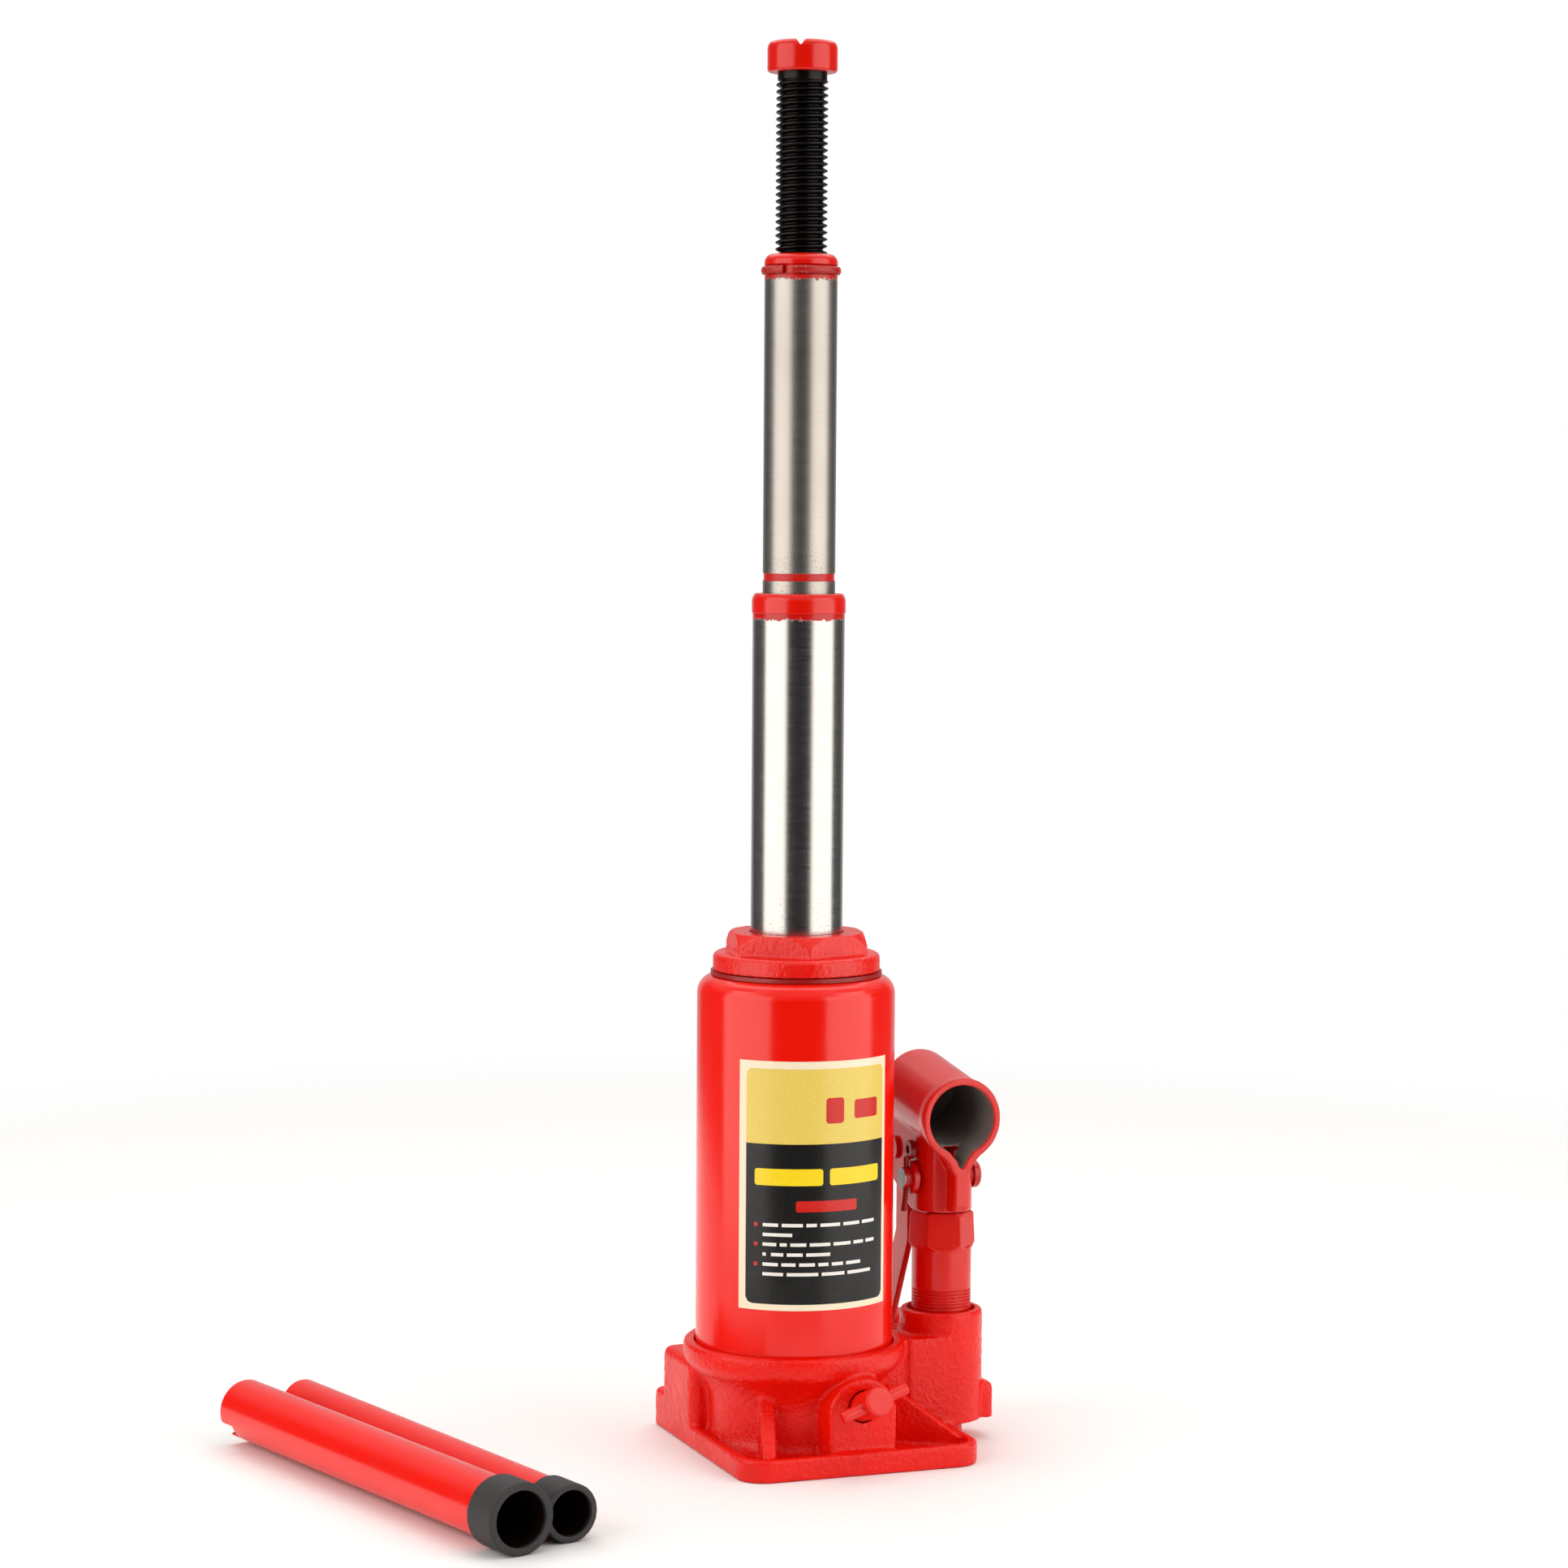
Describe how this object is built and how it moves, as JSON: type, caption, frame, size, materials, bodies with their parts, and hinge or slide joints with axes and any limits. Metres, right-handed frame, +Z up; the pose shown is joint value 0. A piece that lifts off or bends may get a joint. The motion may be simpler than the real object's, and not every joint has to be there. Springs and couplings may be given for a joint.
{
  "type": "bottle jack",
  "caption": "Telescopic hydraulic bottle jack with raised rams, extension screw, pump linkage, release valve and a loose sectional handle.",
  "frame": {"origin": "on the ground under the ram axis", "axes": "+Z up along the rams, -Y towards the release valve, +X towards the pump"},
  "size_m": [0.2815, 0.2076, 0.5245],
  "materials": {
    "red_paint": "gloss",
    "red_paint_cast": "gloss over cast texture",
    "polished_ram": "ground",
    "dark_screw": "oiled",
    "plain_steel": "plain",
    "rubber_seal": "matte",
    "grip_rubber": "matte",
    "sticker": "printed"
  },
  "bodies": {
    "jack_body": {"base_casting": "red_paint_cast", "outlet_check_ball": "plain_steel", "outlet_check_spring": "plain_steel", "inlet_check_ball": "plain_steel", "inlet_check_spring": "plain_steel", "passage_plug": "plain_steel", "relief_valve_screw": "plain_steel", "relief_valve_spring": "plain_steel", "relief_valve_ball": "plain_steel", "casing_gasket": "rubber_seal", "reservoir_casing": "red_paint", "filler_plug": "rubber_seal", "label_sticker": "sticker", "pressure_cylinder": "plain_steel", "cylinder_seal": "rubber_seal", "top_nut": "red_paint_cast", "top_nut_gasket": "rubber_seal", "rod_seal": "rubber_seal", "pump_cylinder": "red_paint", "pump_washer": "rubber_seal", "pump_gland_seal": "rubber_seal", "release_valve_ball": "plain_steel"},
    "outer_ram_body": {"outer_ram": "polished_ram", "outer_piston_seal": "rubber_seal", "outer_stop_ring": "plain_steel", "outer_ram_collar": "red_paint_cast", "collar_seal": "rubber_seal"},
    "inner_ram_body": {"inner_ram": "polished_ram", "inner_piston_seal": "rubber_seal", "inner_stop_ring": "plain_steel", "inner_ram_collar": "red_paint_cast", "collar_clip": "plain_steel"},
    "screw_carrier": {"screw_stop_ring": "plain_steel"},
    "screw_body": {"extension_screw": "dark_screw", "saddle": "red_paint_cast"},
    "plunger_body": {"pump_plunger": "plain_steel", "plunger_cup_seal": "rubber_seal", "clevis_pin": "red_paint", "cotter_pin": "plain_steel", "clevis_washer": "plain_steel"},
    "socket_body": {"handle_socket": "red_paint", "link_pin": "red_paint"},
    "link_body": {"link_strap_left": "red_paint", "link_strap_right": "red_paint", "fulcrum_pin": "red_paint"},
    "valve_body": {"release_valve": "red_paint", "release_valve_ring": "rubber_seal", "release_valve_pin": "red_paint"},
    "handle_large_body": {"handle_tube_large": "red_paint", "handle_grip_large": "grip_rubber"},
    "handle_small_body": {"handle_tube_small": "red_paint", "handle_grip_small": "grip_rubber"}
  },
  "joints": [
    {"name": "outer_ram_slide", "type": "slide", "parent": "jack_body", "child": "outer_ram_body", "axis": [0, 0, 1], "range_m": [-0.118, 0]},
    {"name": "inner_ram_slide", "type": "slide", "parent": "outer_ram_body", "child": "inner_ram_body", "axis": [0, 0, 1], "range_m": [-0.117, 0]},
    {"name": "screw_rise", "type": "slide", "parent": "inner_ram_body", "child": "screw_carrier", "axis": [0, 0, 1], "range_m": [-0.066, 0]},
    {"name": "screw_turn", "type": "hinge", "parent": "screw_carrier", "child": "screw_body", "pos_m": [0, 0, 0.47], "axis": [0, 0, 1], "range_deg": [-9510, 6]},
    {"name": "plunger_slide", "type": "slide", "parent": "jack_body", "child": "plunger_body", "axis": [0, 0, 1], "range_m": [-0.0001, 0.0177]},
    {"name": "socket_swing", "type": "hinge", "parent": "plunger_body", "child": "socket_body", "pos_m": [0.06, 0, 0.1005], "axis": [-1, 0, 0], "range_deg": [0, 50]},
    {"name": "link_swing", "type": "hinge", "parent": "jack_body", "child": "link_body", "pos_m": [0.06, 0.04, 0.035], "axis": [-1, 0, 0], "range_deg": [-0.4, 0.2]},
    {"name": "release_valve_turn", "type": "hinge", "parent": "jack_body", "child": "valve_body", "pos_m": [0.0113, -0.044, 0.0247], "axis": [0, -0.9472, 0.3206], "range_deg": [0, 360]},
    {"name": "large_handle_lift", "type": "slide", "parent": "jack_body", "child": "handle_large_body", "axis": [0, 0, 1], "range_m": [0, 0.1]},
    {"name": "small_handle_lift", "type": "slide", "parent": "jack_body", "child": "handle_small_body", "axis": [0, 0, 1], "range_m": [0, 0.1]}
  ],
  "couplings": [
    {"joint": "screw_turn", "follows": "screw_rise", "rad_per_m": 2513.3},
    {"joint": "plunger_slide", "follows": "socket_swing", "m_per_rad": 0.020068},
    {"joint": "link_swing", "follows": "socket_swing", "ratio": -0.0045}
  ]
}
